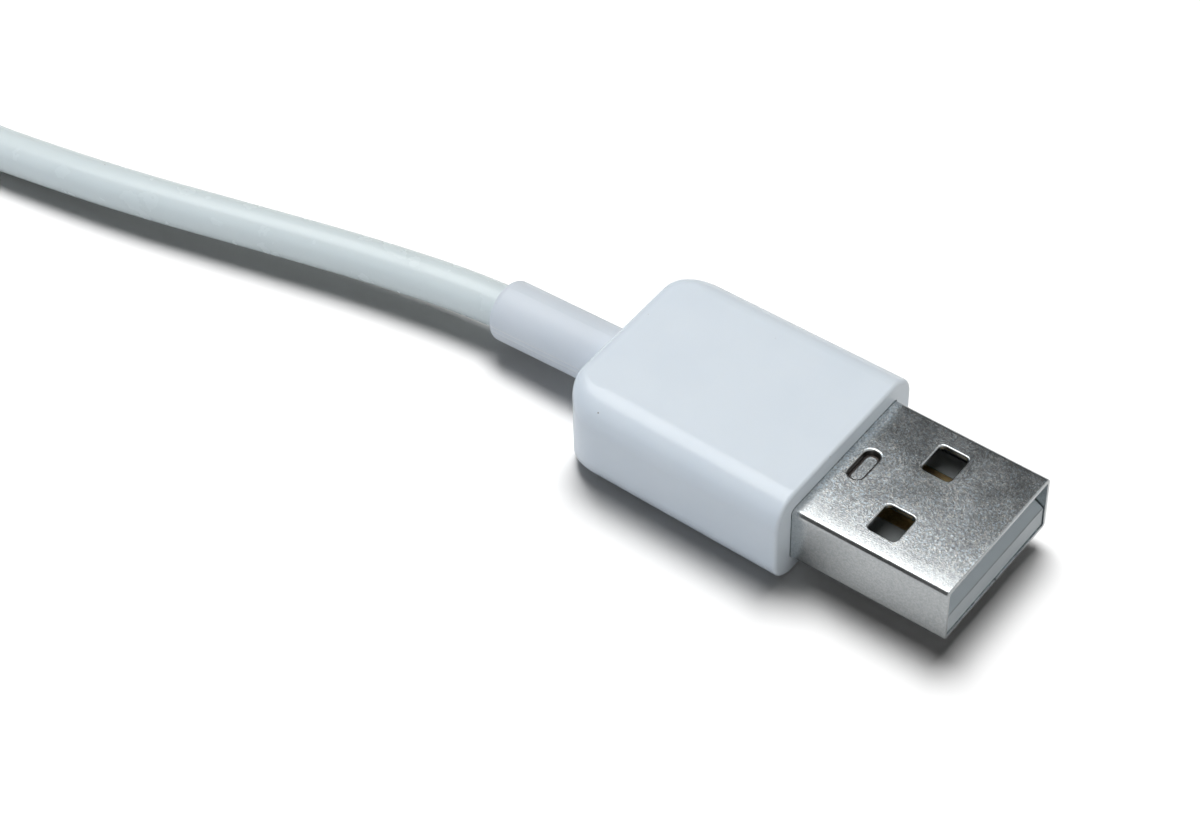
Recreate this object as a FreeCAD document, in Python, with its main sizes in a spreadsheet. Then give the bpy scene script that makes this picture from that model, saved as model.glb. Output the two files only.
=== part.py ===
"""A white USB cable: a moulded A plug, its cord laid in a coil, and a small plug on the far end.

Units are millimetres and +Z is up. The A plug points along +X, the underside of its housing
lies on z = 0, and the plug with its sleeve is centred on the origin. The stretch of cord that
leaves the sleeve lies on the ground; the rest of it is wound into one flat coil, and the far
plug lies on top of that coil.
"""
import FreeCAD, Part
import math
import os

import Sketcher
from FreeCAD import Placement, Rotation, Vector

SIZES = [
    ("housing_width", 15.5, "moulded housing, across its front face"),
    ("housing_rear_width", 15.0, "moulded housing, across its rear"),
    ("housing_height", 7.5, "moulded housing, underside to top"),
    ("housing_length", 17.8, "moulded housing, front face to rear"),
    ("housing_edge", 2.1, "rounding of the four long edges"),
    ("housing_rear_edge", 0.8, "rounding of the rear face's edges"),
    ("housing_corner", 3.0, "rear corners, seen from above"),
    ("housing_lip", 0.25, "rounding round the front face"),
    ("front_wall", 1.6, "housing wall the shell passes through"),
    ("rear_wall", 1.8, "housing wall the sleeve passes through"),
    ("cavity_room", 0.45, "room between the inner box and the housing"),
    ("cavity_corner", 0.8, "rounded corners of the cavity"),
    ("shell_width", 12.1, "plug shell, 12.0 with the standard's tolerance of 0.1"),
    ("shell_height", 4.6, "plug shell, 4.5 with the standard's tolerance of 0.1"),
    ("shell_reach", 11.75, "plug shell, length outside the housing"),
    ("shell_tail", 5.0, "plug shell, length inside the housing"),
    ("shell_sheet", 0.3, "sheet the shell is folded from"),
    ("shell_bend", 0.4, "outside radius of the folds"),
    ("shell_gap", 0.06, "gap between the shell and the housing"),
    ("window_length", 2.2, "latch window, along the plug"),
    ("window_width", 2.5, "latch window, across the plug"),
    ("window_spacing", 6.26, "latch windows, centre to centre"),
    ("window_from_tip", 6.12, "latch windows, centre to the shell's mouth"),
    ("window_corner", 0.35, "rounded corners of the windows"),
    ("window_rim", 0.12, "rounding of the upper windows' rims"),
    ("mouth_rim", 0.1, "rounding round the outside of the shell's mouth"),
    ("dimple_across", 2.8, "pressed dimple, across the plug"),
    ("dimple_along", 1.15, "pressed dimple, along the plug"),
    ("dimple_from_housing", 1.45, "pressed dimple, centre to the housing"),
    ("dimple_depth", 0.42, "how far the dimple is pressed in"),
    ("dimple_corner", 0.5, "rounded corners of the dimple"),
    ("dimple_slope", 14.0, "slope of the dimple's walls, degrees"),
    ("dimple_rim", 0.18, "rounding of the dimple's rim"),
    ("dimple_wall", 0.12, "how far the bump inside is larger all round"),
    ("seam_gap", 0.12, "open seam in the shell's underside"),
    ("seam_hook_from_housing", 2.0, "interlock of the seam, rear end"),
    ("seam_hook_length", 2.6, "interlock of the seam, along the plug"),
    ("seam_hook_depth", 1.0, "interlock of the seam, across the plug"),
    ("seam_hook_flare", 0.3, "how far the interlock widens"),
    ("block_clear", 0.08, "gap between the block and the shell"),
    ("block_tail", 4.8, "contact block, length inside the housing"),
    ("block_wall_front", 0.4, "front of the block's full-height wall"),
    ("tongue_top", 2.4, "top of the tongue above the shell's underside"),
    ("tongue_setback", 0.1, "tongue behind the shell's mouth"),
    ("ramp_length", 0.8, "lead-in at the tongue's front, along"),
    ("ramp_drop", 0.5, "lead-in at the tongue's front, down"),
    ("contact_width", 1.0, "contact strip"),
    ("contact_sheet", 0.25, "contact strip"),
    ("contact_play", 0.02, "gap round a contact in its groove"),
    ("contact_nose", 0.3, "bevel at the front of a contact"),
    ("contact_face", 0.1, "flat left at the front of a contact"),
    ("contact_tail", 8.6, "contacts, length behind the front face"),
    ("outer_contacts", 7.0, "outer pair, centre to centre"),
    ("inner_contacts", 2.0, "inner pair, centre to centre"),
    ("outer_setback", 1.75, "outer contacts behind the shell's mouth"),
    ("inner_setback", 2.75, "inner contacts behind the shell's mouth"),
    ("can_sheet", 0.25, "sheet of the inner shield"),
    ("can_gap", 0.05, "gap between the shield halves"),
    ("can_setback", 0.3, "rear end of the shield in front of the sleeve's collar"),
    ("can_mouth", 1.75, "radius of the shield's rear opening"),
    ("wire_diameter", 0.85, "insulated conductor"),
    ("wire_spread", 0.5, "conductors off the cord's axis"),
    ("wire_gap", 0.08, "start of the conductors in front of the jacket"),
    ("wire_seat", 0.03, "gap between a conductor and what it lies on"),
    ("wire_lead", 1.2, "straight part at each end of a conductor"),
    ("wire_lap", 0.1, "conductor over the end of its contact"),
    ("drain_diameter", 0.45, "bare drain wire"),
    ("drain_drop", 1.05, "drain wire under the cord's axis"),
    ("drain_fall", 2.0, "sloping part of the drain wire"),
    ("drain_end", 8.9, "drain wire's end behind the front face"),
    ("solder_length", 1.8, "solder joint"),
    ("solder_foot", 0.9, "solder joint, width at its foot"),
    ("solder_crest", 0.5, "solder joint, width at its top"),
    ("solder_crest_length", 1.26, "solder joint, length at its top"),
    ("solder_setback", 0.12, "solder joint in front of the contact's end"),
    ("sleeve_diameter", 4.4, "sleeve behind the housing"),
    ("sleeve_length", 9.95, "sleeve outside the housing"),
    ("sleeve_round", 0.55, "rounded end of the sleeve"),
    ("sleeve_height", 1.95, "sleeve's axis at the rear face, above the shell's underside"),
    ("sleeve_droop", 2.9, "fall of the sleeve's axis, degrees"),
    ("sleeve_gap", 0.05, "gap round the sleeve and round the jacket"),
    ("flange_diameter", 4.9, "collar inside the housing"),
    ("flange_thick", 0.8, "collar inside the housing"),
    ("flange_gap", 0.2, "collar to the rear wall"),
    ("cord_diameter", 3.1, "jacket"),
    ("coil_x", -92.0, "centre of the coil"),
    ("coil_y", -14.0, "centre of the coil"),
    ("coil_radius", 15.5, "middle of the coil's turns"),
    ("coil_pitch", 3.15, "from one turn to the next"),
    ("coil_turns", 3.0, "turns side by side"),
    ("coil_layers", 3.0, "layers of turns"),
    ("coil_round", 1.4, "rounded edges of the coil"),
    ("tail_radius", 14.66, "last turn, where the cord leaves the coil"),
    ("tail_straight", 1.0, "last turn to the far sleeve"),
    ("tail_rise", 2.6, "height the tail gains over its last quarter turn"),
    ("tie_thick", 0.5, "tie band"),
    ("tie_width", 5.0, "tie band"),
    ("tie_slack", 0.4, "slack of a tie on the inside of the coil"),
    ("tie_clear", 0.02, "gap between a tie and the outside of the coil"),
    ("tie_bend", 1.3, "inside radius of a tie's corners"),
    ("tie_first", 240.0, "where the first tie sits round the coil, degrees"),
    ("tie_second", 330.0, "where the second tie sits round the coil, degrees"),
    ("far_heading", 225.0, "way the far plug points, degrees"),
    ("far_lift", 0.1, "far plug above the coil"),
    ("far_width", 11.0, "far plug's housing"),
    ("far_height", 6.0, "far plug's housing"),
    ("far_length", 12.5, "far plug's housing"),
    ("far_corner", 2.6, "far plug's housing, section corners"),
    ("far_rear_edge", 0.9, "far plug's housing, rear edge"),
    ("far_front_edge", 0.4, "far plug's housing, front edge"),
    ("far_wall", 0.9, "far plug's housing, walls along the plug"),
    ("far_end_wall", 1.4, "far plug's housing, end walls"),
    ("far_sleeve_diameter", 4.0, "far plug's sleeve"),
    ("far_sleeve_length", 6.0, "far plug's sleeve outside the housing"),
    ("far_sleeve_inside", 2.0, "far plug's sleeve inside the housing"),
    ("far_sleeve_round", 0.33, "rounded end of the far plug's sleeve"),
    ("far_shell_width", 8.25, "far plug's shell, standard"),
    ("far_shell_height", 2.4, "far plug's shell, standard"),
    ("far_shell_reach", 6.65, "far plug's shell, outside the housing"),
    ("far_shell_tail", 4.0, "far plug's shell, inside the housing"),
    ("far_shell_sheet", 0.25, "far plug's shell"),
    ("far_shell_flat", 0.01, "half the flat at the shell's sides"),
    ("far_clear", 0.05, "gaps between the far plug's pieces"),
    ("far_setback", 0.3, "insulator behind the shell's mouth"),
    ("far_slot_width", 6.7, "slot in the insulator"),
    ("far_slot_height", 1.0, "slot in the insulator"),
    ("far_contact_width", 0.25, "contact strip"),
    ("far_contact_sheet", 0.12, "contact strip"),
    ("far_contact_pitch", 0.5, "contact strips, centre to centre"),
    ("far_contact_setback", 1.2, "contacts behind the insulator's front"),
    ("far_contact_tail", 0.6, "contacts behind the shell's rear end"),
    ("latch_thick", 0.3, "side latch spring"),
    ("latch_height", 0.6, "side latch spring"),
    ("latch_length", 6.0, "side latch spring"),
    ("latch_bump", 0.2, "nose of a side latch"),
    ("latch_crest", 0.5, "crest of the nose behind the latch's end"),
    ("latch_foot", 1.1, "foot of the nose behind the latch's end"),
    ("card_width", 7.2, "circuit card"),
    ("card_thick", 0.7, "circuit card"),
    ("card_start", 3.6, "circuit card's rear edge, from the housing's rear"),
    ("card_in_shell", 0.9, "circuit card, length inside the shell"),
    ("card_shoulder", 0.3, "circuit card's shoulders behind the shell"),
    ("resistor_length", 1.0, "chip resistor"),
    ("resistor_width", 0.5, "chip resistor"),
    ("resistor_height", 0.35, "chip resistor"),
    ("resistor_offset", 0.6, "chip resistor in front of the card's middle"),
    ("card_wire_spread", 1.2, "conductors off the middle of the card"),
    ("card_wire_lap", 1.6, "conductors over the card"),
    ("card_wire_lead", 0.6, "straight part of a conductor behind the card"),
    ("card_wire_bend", 0.1, "bend of a conductor behind the card's edge"),
    ("overcut", 1.0, "how far a cut runs past what it cuts"),
]

MILD_STEPS = 4
TINY = 1e-4
ARC_SHARE = 0.45

doc = FreeCAD.newDocument("usb_cable")
sheet = doc.addObject("Spreadsheet::Sheet", "dim")
for row, (alias, number, note) in enumerate(SIZES, 1):
    sheet.set(f"A{row}", alias)
    sheet.set(f"B{row}", str(number))
    sheet.set(f"C{row}", note)
    sheet.setAlias(f"B{row}", alias)
doc.recompute()

NODES = []

SHIFT = "((dim.housing_length + dim.sleeve_length * cos(dim.sleeve_droop) - dim.shell_reach) / 2)"
UNDER = "((dim.housing_height - dim.shell_height) / 2)"
OVER = "((dim.housing_height + dim.shell_height) / 2)"
MIDDLE = "(dim.housing_height / 2)"
TONGUE = f"({UNDER} + dim.tongue_top)"
SLEEVE_Z = f"({UNDER} + dim.sleeve_height)"
COLLAR = "(dim.rear_wall + dim.flange_gap + dim.flange_thick)"
CORD_END_X = f"({SHIFT} - dim.housing_length + {COLLAR} * cos(dim.sleeve_droop))"
CORD_END_Z = f"({SLEEVE_Z} + {COLLAR} * sin(dim.sleeve_droop))"
CAN_END = f"(dim.housing_length - {COLLAR} * cos(dim.sleeve_droop) - dim.can_setback)"
HALF_BAND = "(dim.coil_turns * dim.coil_pitch / 2)"
COIL_OUT = f"(dim.coil_radius + {HALF_BAND} + dim.coil_pitch / 2)"
COIL_IN = f"(dim.coil_radius - {HALF_BAND} - dim.coil_pitch / 2)"
COIL_TOP = "(dim.tie_thick + dim.coil_layers * dim.coil_pitch)"
FAR_Z = f"({COIL_TOP} + dim.far_lift + dim.far_height / 2)"
FAR_RUN = "(dim.tail_straight + dim.far_sleeve_length)"
FAR_X = (f"(dim.coil_x + dim.tail_radius * sin(dim.far_heading)"
         f" + {FAR_RUN} * cos(dim.far_heading))")
FAR_Y = (f"(dim.coil_y - dim.tail_radius * cos(dim.far_heading)"
         f" + {FAR_RUN} * sin(dim.far_heading))")
FAR_REAR = "(dim.far_length - dim.far_shell_tail)"
FAR_TIP = "(dim.far_length + dim.far_shell_reach)"


def size(text):
    """Work out an expression of the sheet's cells as a plain number."""
    return float(sheet.evalExpression(text))


def keep(item, label):
    """Name a finished object as one node of the cable."""
    item.Label = label
    NODES.append(item)
    return item


def new_body(name, x=SHIFT, y="0", z="0"):
    """Start a body whose place is bound to the sheet."""
    made = doc.addObject("PartDesign::Body", name)
    for axis, text in zip("xyz", (x, y, z)):
        made.setExpression(f"Placement.Base.{axis}", text)
    return made


def far_body(name):
    """Start a body in the far plug's frame: X along the plug, its axis on y = z = 0."""
    made = new_body(name, FAR_X, FAR_Y, FAR_Z)
    made.Placement.Rotation = Rotation(Vector(0, 0, 1), 1)
    made.setExpression("Placement.Rotation.Angle", "dim.far_heading")
    return made


def new_sketch(body, role, lift="0"):
    """Put a sketch on one of a body's base planes, lifted along that plane's normal."""
    made = body.newObject("Sketcher::SketchObject", body.Name + "_sketch")
    plane = next(item for item in body.Origin.OriginFeatures if item.Role == role)
    made.AttachmentSupport = [(plane, "")]
    made.MapMode = "FlatFace"
    if lift != "0":
        made.setExpression("AttachmentOffset.Base.z", lift)
    return made


def pin(made, shape, end, x, y):
    """Bind one point of a sketch to expressions for its two coordinates."""
    for kind, axis, text in (("DistanceX", -2, x), ("DistanceY", -1, y)):
        if text == "0":
            made.addConstraint(Sketcher.Constraint("PointOnObject", shape, end, axis))
        else:
            number = made.addConstraint(Sketcher.Constraint(kind, -1, 1, shape, end, size(text)))
            made.setExpression(f"Constraints[{number}]", text)


def straight_outline(made, points):
    """Draw a closed chain of straight lines through points given as expression pairs."""
    first = made.GeometryCount
    spots = [Vector(size(x), size(y), 0) for x, y in points]
    count = len(spots)
    for index in range(count):
        made.addGeometry(Part.LineSegment(spots[index], spots[(index + 1) % count]), False)
    for index in range(count):
        after = first + (index + 1) % count
        made.addConstraint(Sketcher.Constraint("Coincident", first + index, 2, after, 1))
    for index, (x, y) in enumerate(points):
        pin(made, first + index, 1, x, y)


def round_outline(made, left, right, low, high, radius):
    """Draw a rectangle with four equal rounded corners, bound to the sheet."""
    first = made.GeometryCount
    x0, x1, y0, y1, r = (size(text) for text in (left, right, low, high, radius))
    centres = [(x1 - r, y0 + r), (x1 - r, y1 - r), (x0 + r, y1 - r), (x0 + r, y0 + r)]
    ends = [((x0 + r, y0), (x1 - r, y0)), ((x1, y0 + r), (x1, y1 - r)),
            ((x1 - r, y1), (x0 + r, y1)), ((x0, y1 - r), (x0, y0 + r))]
    for index in range(4):
        start, stop = (Vector(x, y, 0) for x, y in ends[index])
        made.addGeometry(Part.LineSegment(start, stop), False)
        ring = Part.Circle(Vector(*centres[index], 0), Vector(0, 0, 1), r)
        turn = (index - 1) * math.pi / 2
        made.addGeometry(Part.ArcOfCircle(ring, turn, turn + math.pi / 2), False)
    for index in range(4):
        line = first + 2 * index
        after = first + (2 * index + 2) % 8
        made.addConstraint(Sketcher.Constraint("Tangent", line, 2, line + 1, 1))
        made.addConstraint(Sketcher.Constraint("Tangent", line + 1, 2, after, 1))
        made.addConstraint(Sketcher.Constraint("Vertical" if index % 2 else "Horizontal", line))
        if index:
            made.addConstraint(Sketcher.Constraint("Equal", first + 1, line + 1))
    bound = [("DistanceY", first, low), ("DistanceX", first + 2, right),
             ("DistanceY", first + 4, high), ("DistanceX", first + 6, left)]
    for kind, line, text in bound:
        number = made.addConstraint(Sketcher.Constraint(kind, -1, 1, line, 1, size(text)))
        made.setExpression(f"Constraints[{number}]", text)
    number = made.addConstraint(Sketcher.Constraint("Radius", first + 1, r))
    made.setExpression(f"Constraints[{number}]", radius)


def circle_outline(made, x, y, radius):
    """Draw a circle bound to the sheet."""
    number = made.addGeometry(Part.Circle(Vector(size(x), size(y), 0), Vector(0, 0, 1),
                                          size(radius)), False)
    pin(made, number, 3, x, y)
    bound = made.addConstraint(Sketcher.Constraint("Radius", number, size(radius)))
    made.setExpression(f"Constraints[{bound}]", radius)


def pull(body, kind, profile, length, both=False, back=False, taper=None):
    """Add a pad or cut a pocket from a sketch, its length bound to the sheet."""
    made = body.newObject(f"PartDesign::{kind}", body.Name + "_" + kind.lower())
    made.Profile = profile
    made.setExpression("Length", length)
    if both:
        made.SideType = "Symmetric"
    made.Reversed = back
    if taper:
        made.setExpression("TaperAngle", taper)
    doc.recompute()
    return made


def soften(body, base, edges, radius):
    """Round the numbered edges of a body's last feature."""
    made = body.newObject("PartDesign::Fillet", body.Name + "_round")
    made.Base = (base, [f"Edge{number}" for number in edges])
    made.setExpression("Radius", radius)
    doc.recompute()
    return made


def edges_where(shape, test):
    """List the numbers of the edges that pass a test."""
    return [number for number, edge in enumerate(shape.Edges, 1) if test(edge)]


def flat_in_x(edge, x):
    """Tell whether an edge lies wholly in the plane at this x."""
    box = edge.BoundBox
    return abs(box.XMin - x) < TINY and abs(box.XMax - x) < TINY


def rims_opening(edge, level, middle, reach):
    """Tell whether an edge lies at this level and wholly within reach of a place along the plug."""
    box = edge.BoundBox
    flat = abs(box.ZMin - level) < TINY and abs(box.ZMax - level) < TINY
    return flat and middle - reach < box.XMin and box.XMax < middle + reach


def tube(label, points, diameter):
    """Lay a round tube of straight runs joined by tangent arcs, and keep it as a node."""
    spots = [Vector(*point) for point in points]
    pieces = []
    start = spots[0]
    length = 0.0
    tightest = math.inf
    for before, here, after in zip(spots, spots[1:], spots[2:]):
        back = before - here
        ahead = after - here
        turn = math.pi - back.getAngle(ahead)
        set_back = ARC_SHARE * min(back.Length, ahead.Length)
        radius = set_back / math.tan(turn / 2)
        tightest = min(tightest, radius)
        enter = here + Vector(back).normalize() * set_back
        leave = here + Vector(ahead).normalize() * set_back
        bisector = (Vector(back).normalize() + Vector(ahead).normalize()).normalize()
        centre = here + bisector * (radius / math.cos(turn / 2))
        run = enter - start
        pieces.append(Part.makeCylinder(diameter / 2, run.Length, start, run))
        disc = Part.Face(Part.Wire(Part.Circle(enter, Vector(back), diameter / 2).toShape()))
        pieces.append(disc.revolve(centre, ahead.cross(back), math.degrees(turn)))
        length += run.Length + radius * turn
        start = leave
    run = spots[-1] - start
    pieces.append(Part.makeCylinder(diameter / 2, run.Length, start, run))
    length += run.Length
    made = doc.addObject("Part::Feature", label)
    made.Shape = pieces[0].fuse(pieces[1:]).Solids[0]
    ratio = made.Shape.Volume / (length * math.pi * diameter ** 2 / 4)
    if abs(ratio - 1) > 0.01:
        raise RuntimeError(f"{label} is not an even tube: {ratio:.3f}")
    print(f"{label}: {length:.1f} long, tightest bend {tightest:.1f}")
    return keep(made, label)


def make_housing():
    """Mould the A plug's housing: a hollow cap, rounder behind than at its front face."""
    block = new_body("housing_block")
    plan = new_sketch(block, "XY_Plane")
    straight_outline(plan, [("-dim.housing_length", "-dim.housing_rear_width / 2"),
                            ("0", "-dim.housing_width / 2"), ("0", "dim.housing_width / 2"),
                            ("-dim.housing_length", "dim.housing_rear_width / 2")])
    solid = pull(block, "Pad", plan, "dim.housing_height")
    middle = -size("dim.housing_length / 2")
    upright = edges_where(solid.Shape, lambda edge: edge.BoundBox.ZLength > TINY
                          and edge.CenterOfMass.x < middle)
    soften(block, solid, upright, "dim.housing_corner")

    rounded = doc.addObject("Part::Fillet", "housing_rounded")
    rounded.Base = block
    wide, narrow = size("dim.housing_edge"), size("dim.housing_rear_edge")
    front = size(SHIFT)
    rounding = []
    for number, edge in enumerate(block.Shape.Edges, 1):
        if edge.BoundBox.ZLength > TINY or flat_in_x(edge, front):
            continue
        if edge.Curve.TypeId != "Part::GeomLine":
            near = edge.CenterOfMass.y < 0
            rounding.append((number, narrow, wide) if near else (number, wide, narrow))
        elif edge.BoundBox.XLength > TINY:
            rounding.append((number, wide, wide))
        else:
            rounding.append((number, narrow, narrow))
    rounded.Edges = rounding
    doc.recompute()

    lipped = doc.addObject("Part::Fillet", "housing_lipped")
    lipped.Base = rounded
    lip = size("dim.housing_lip")
    lipped.Edges = [(number, lip, lip) for number in
                    edges_where(rounded.Shape, lambda edge: flat_in_x(edge, front))]
    doc.recompute()

    core = new_body("housing_core")
    room = new_sketch(core, "YZ_Plane", "-dim.front_wall")
    round_outline(room, "-dim.shell_width / 2 - dim.cavity_room",
                  "dim.shell_width / 2 + dim.cavity_room", f"{UNDER} - dim.cavity_room",
                  f"{OVER} + dim.cavity_room", "dim.cavity_corner")
    pull(core, "Pad", room, "dim.housing_length - dim.front_wall - dim.rear_wall", back=True)
    mouth = new_sketch(core, "YZ_Plane", "dim.overcut")
    round_outline(mouth, "-dim.shell_width / 2 - dim.shell_gap",
                  "dim.shell_width / 2 + dim.shell_gap", f"{UNDER} - dim.shell_gap",
                  f"{OVER} + dim.shell_gap", "dim.shell_bend + dim.shell_gap")
    pull(core, "Pad", mouth, "dim.front_wall + 2 * dim.overcut", back=True)

    bore = doc.addObject("Part::Cylinder", "housing_bore")
    bore.setExpression("Radius", "dim.sleeve_diameter / 2 + dim.sleeve_gap")
    bore.setExpression("Height", "dim.rear_wall + 2 * dim.overcut")
    bore.Placement.Rotation = Rotation(Vector(0, -1, 0), 90)
    bore.setExpression("Placement.Rotation.Angle", "90 + dim.sleeve_droop")
    bore.setExpression("Placement.Base.x", f"{SHIFT} - dim.housing_length"
                       " + (dim.rear_wall + dim.overcut) * cos(dim.sleeve_droop)")
    bore.setExpression("Placement.Base.z",
                       f"{SLEEVE_Z} + (dim.rear_wall + dim.overcut) * sin(dim.sleeve_droop)")

    hollow = doc.addObject("Part::Cut", "housing_hollow")
    hollow.Base = lipped
    hollow.Tool = core
    made = doc.addObject("Part::Cut", "plug_housing")
    made.Base = hollow
    made.Tool = bore
    doc.recompute()
    keep(made, "plug_housing")


def make_shell():
    """Fold the plug shell: one sheet with latch windows, a dimple and a hooked seam underneath."""
    body = new_body("usb_shell")
    section = new_sketch(body, "YZ_Plane", "dim.shell_reach")
    round_outline(section, "-dim.shell_width / 2", "dim.shell_width / 2", UNDER, OVER,
                  "dim.shell_bend")
    round_outline(section, "-dim.shell_width / 2 + dim.shell_sheet",
                  "dim.shell_width / 2 - dim.shell_sheet", f"{UNDER} + dim.shell_sheet",
                  f"{OVER} - dim.shell_sheet", "dim.shell_bend - dim.shell_sheet")
    pull(body, "Pad", section, "dim.shell_reach + dim.shell_tail", back=True)

    near = "dim.shell_reach - dim.window_from_tip + dim.window_length / 2"
    away = "dim.shell_reach - dim.window_from_tip - dim.window_length / 2"
    inner = "(dim.window_spacing - dim.window_width) / 2"
    outer = "(dim.window_spacing + dim.window_width) / 2"
    for level in (OVER, f"{UNDER} + 2 * dim.shell_sheet"):
        windows = new_sketch(body, "XY_Plane", level)
        round_outline(windows, away, near, inner, outer, "dim.window_corner")
        round_outline(windows, away, near, f"-{outer}", f"-{inner}", "dim.window_corner")
        pull(body, "Pocket", windows, "dim.shell_sheet * 2")

    back = "dim.dimple_from_housing - dim.dimple_along / 2"
    fore = "dim.dimple_from_housing + dim.dimple_along / 2"
    bump = new_sketch(body, "XY_Plane", f"{OVER} - dim.shell_sheet")
    round_outline(bump, f"{back} - dim.dimple_wall", f"{fore} + dim.dimple_wall",
                  "-dim.dimple_across / 2 - dim.dimple_wall",
                  "dim.dimple_across / 2 + dim.dimple_wall", "dim.dimple_corner + dim.dimple_wall")
    pull(body, "Pad", bump, "dim.dimple_depth", back=True, taper="-dim.dimple_slope")
    dent = new_sketch(body, "XY_Plane", OVER)
    round_outline(dent, back, fore, "-dim.dimple_across / 2", "dim.dimple_across / 2",
                  "dim.dimple_corner")
    pull(body, "Pocket", dent, "dim.dimple_depth", taper="-dim.dimple_slope")

    seam = new_sketch(body, "XY_Plane", f"{UNDER} + 2 * dim.shell_sheet")
    half = "dim.seam_gap / 2"
    start = "dim.seam_hook_from_housing"
    stop = "dim.seam_hook_from_housing + dim.seam_hook_length"
    straight_outline(seam, [
        ("-dim.shell_tail - dim.overcut", half), (f"{start} - {half}", half),
        (f"{start} - {half} - dim.seam_hook_flare", f"dim.seam_hook_depth + {half}"),
        (f"{stop} + {half} + dim.seam_hook_flare", f"dim.seam_hook_depth + {half}"),
        (f"{stop} + {half}", half), ("dim.shell_reach + dim.overcut", half),
        ("dim.shell_reach + dim.overcut", f"-{half}"), (f"{stop} - {half}", f"-{half}"),
        (f"{stop} - {half} + dim.seam_hook_flare", f"dim.seam_hook_depth - {half}"),
        (f"{start} + {half} - dim.seam_hook_flare", f"dim.seam_hook_depth - {half}"),
        (f"{start} + {half}", f"-{half}"), ("-dim.shell_tail - dim.overcut", f"-{half}")])
    folded = pull(body, "Pocket", seam, "dim.shell_sheet * 2")

    roof, sheet = size(OVER), size("dim.shell_sheet")
    dent_x, dent_reach = size("dim.dimple_from_housing"), size("dim.dimple_along")
    window_x, window_reach = size("dim.shell_reach - dim.window_from_tip"), size("dim.window_length")
    pressed = soften(body, folded, edges_where(
        folded.Shape, lambda edge: rims_opening(edge, roof, dent_x, dent_reach)), "dim.dimple_rim")
    pierced = soften(body, pressed, edges_where(
        pressed.Shape, lambda edge: rims_opening(edge, roof, window_x, window_reach)),
        "dim.window_rim")
    mouth, side, floor = size("dim.shell_reach"), size("dim.shell_width / 2"), size(UNDER)

    def rims_mouth(edge):
        """Tell whether an edge runs round the outside of the shell's mouth."""
        box = edge.BoundBox
        beside = box.YMax > side - sheet / 2 or box.YMin < sheet / 2 - side
        level = box.ZLength < TINY and (box.ZMin < floor + sheet / 2 or box.ZMax > roof - sheet / 2)
        return flat_in_x(edge, mouth) and (beside or level)

    soften(body, pierced, edges_where(pierced.Shape, rims_mouth), "dim.mouth_rim")
    keep(body, "usb_shell")


def contact_rows():
    """List the contacts of the A plug: name, sideways place and setback, as expressions."""
    return [("power", "dim.outer_contacts / 2", "dim.outer_setback"),
            ("data_minus", "dim.inner_contacts / 2", "dim.inner_setback"),
            ("data_plus", "-dim.inner_contacts / 2", "dim.inner_setback"),
            ("ground", "-dim.outer_contacts / 2", "dim.outer_setback")]


def make_block():
    """Mould the contact block: a tongue in front of a full-height wall, grooved for the contacts."""
    body = new_body("contact_block")
    side = new_sketch(body, "XZ_Plane")
    low = f"{UNDER} + dim.shell_sheet + dim.block_clear"
    high = f"{OVER} - dim.shell_sheet - dim.block_clear"
    tip = "dim.shell_reach - dim.tongue_setback"
    straight_outline(side, [
        ("-dim.block_tail", low), (tip, low), (tip, f"{TONGUE} - dim.ramp_drop"),
        (f"{tip} - dim.ramp_length", TONGUE), ("dim.block_wall_front", TONGUE),
        ("dim.block_wall_front", high), ("-dim.block_tail", high)])
    pull(body, "Pad", side, "dim.shell_width - 2 * dim.shell_sheet - 2 * dim.block_clear",
         both=True)
    grooves = new_sketch(body, "XY_Plane", f"{TONGUE} + dim.contact_play")
    for name, across, setback in contact_rows():
        nose = f"dim.shell_reach - {setback} + dim.contact_play"
        left = f"{across} - dim.contact_width / 2 - dim.contact_play"
        right = f"{across} + dim.contact_width / 2 + dim.contact_play"
        straight_outline(grooves, [("-dim.block_tail - dim.overcut", left), (nose, left), (nose, right),
                                   ("-dim.block_tail - dim.overcut", right)])
    pull(body, "Pocket", grooves, "dim.contact_sheet + 2 * dim.contact_play")
    keep(body, "contact_block")


def make_contacts():
    """Stamp the four contacts, each a flat strip with a bevelled nose."""
    for name, across, setback in contact_rows():
        body = new_body(f"contact_{name}", y=across)
        side = new_sketch(body, "XZ_Plane")
        low = f"{TONGUE} - dim.contact_sheet"
        nose = f"dim.shell_reach - {setback}"
        straight_outline(side, [
            ("-dim.contact_tail", low), (nose, low), (nose, f"{low} + dim.contact_face"),
            (f"{nose} - dim.contact_nose", TONGUE), ("-dim.contact_tail", TONGUE)])
        pull(body, "Pad", side, "dim.contact_width", both=True)
        keep(body, f"contact_{name}")


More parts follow.
